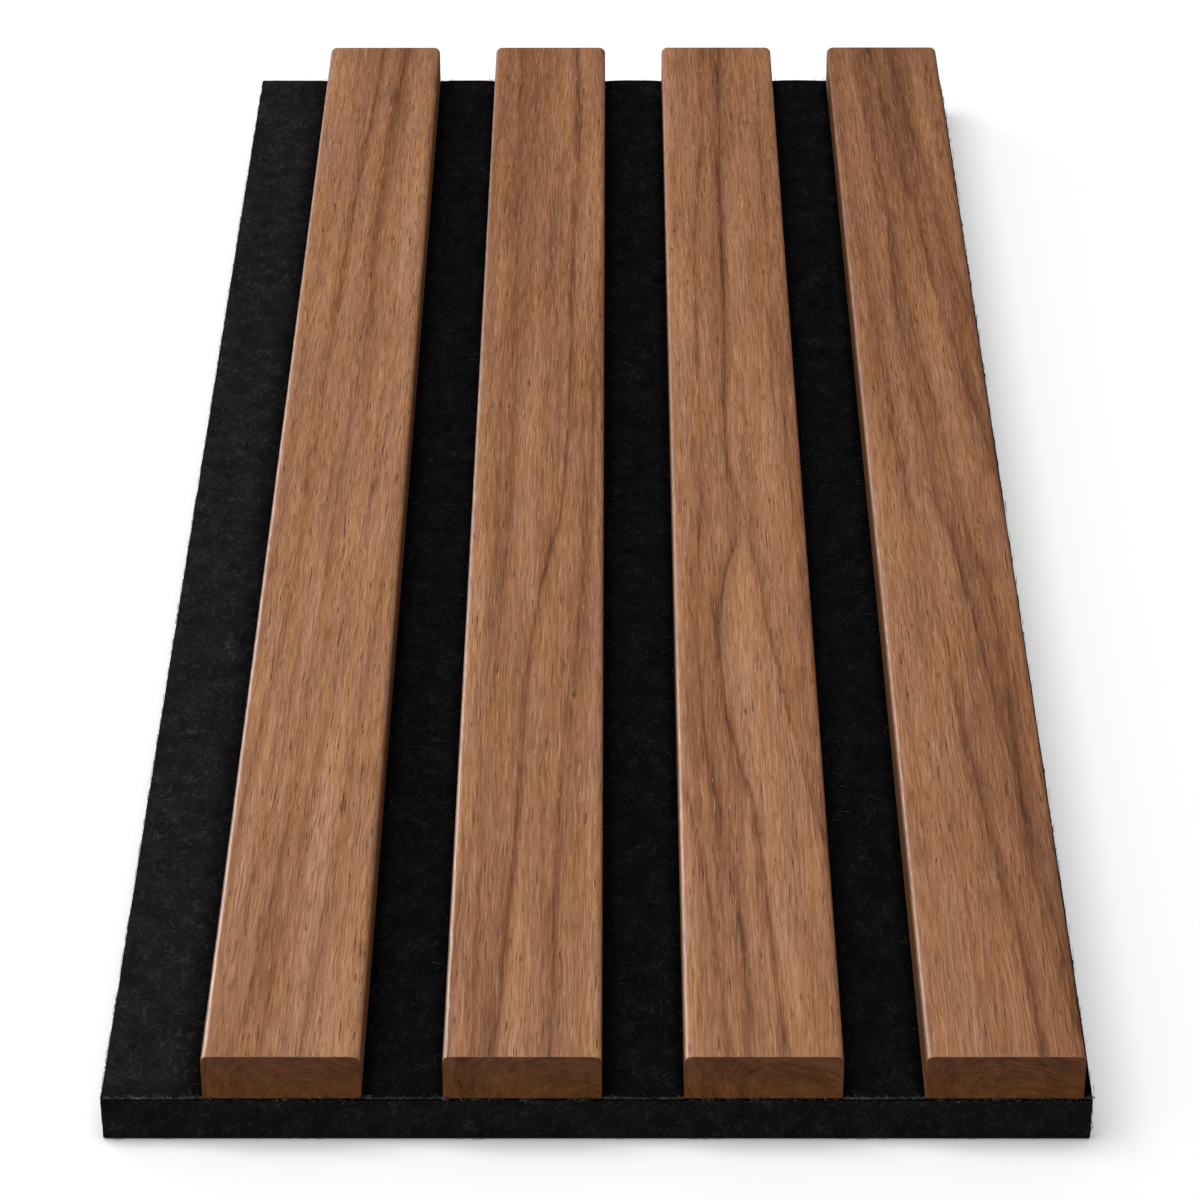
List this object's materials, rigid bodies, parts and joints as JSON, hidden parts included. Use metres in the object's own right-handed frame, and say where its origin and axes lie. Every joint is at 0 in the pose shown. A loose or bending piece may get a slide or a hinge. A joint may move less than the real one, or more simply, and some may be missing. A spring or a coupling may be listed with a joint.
{
  "type": "slatted wall panel",
  "caption": "Wall panel section: solid walnut slats side by side on a thick black felt board, stapled from behind, with open grooves between the slats.",
  "frame": {"origin": "centre of the felt board's back face, which lies on the wall", "axes": "+X across the slats, from the wide bare felt margin to the narrow one; +Y along the slats; +Z out of the wall, towards the room"},
  "size_m": [0.1692, 0.4, 0.018],
  "materials": {
    "felt": "matte",
    "walnut": "satin",
    "staple_wire": "satin"
  },
  "bodies": {
    "root": {"felt_backing": "felt", "slat_1": "walnut", "slat_2": "walnut", "slat_3": "walnut", "slat_4": "walnut", "staples": "staple_wire"}
  },
  "joints": []
}
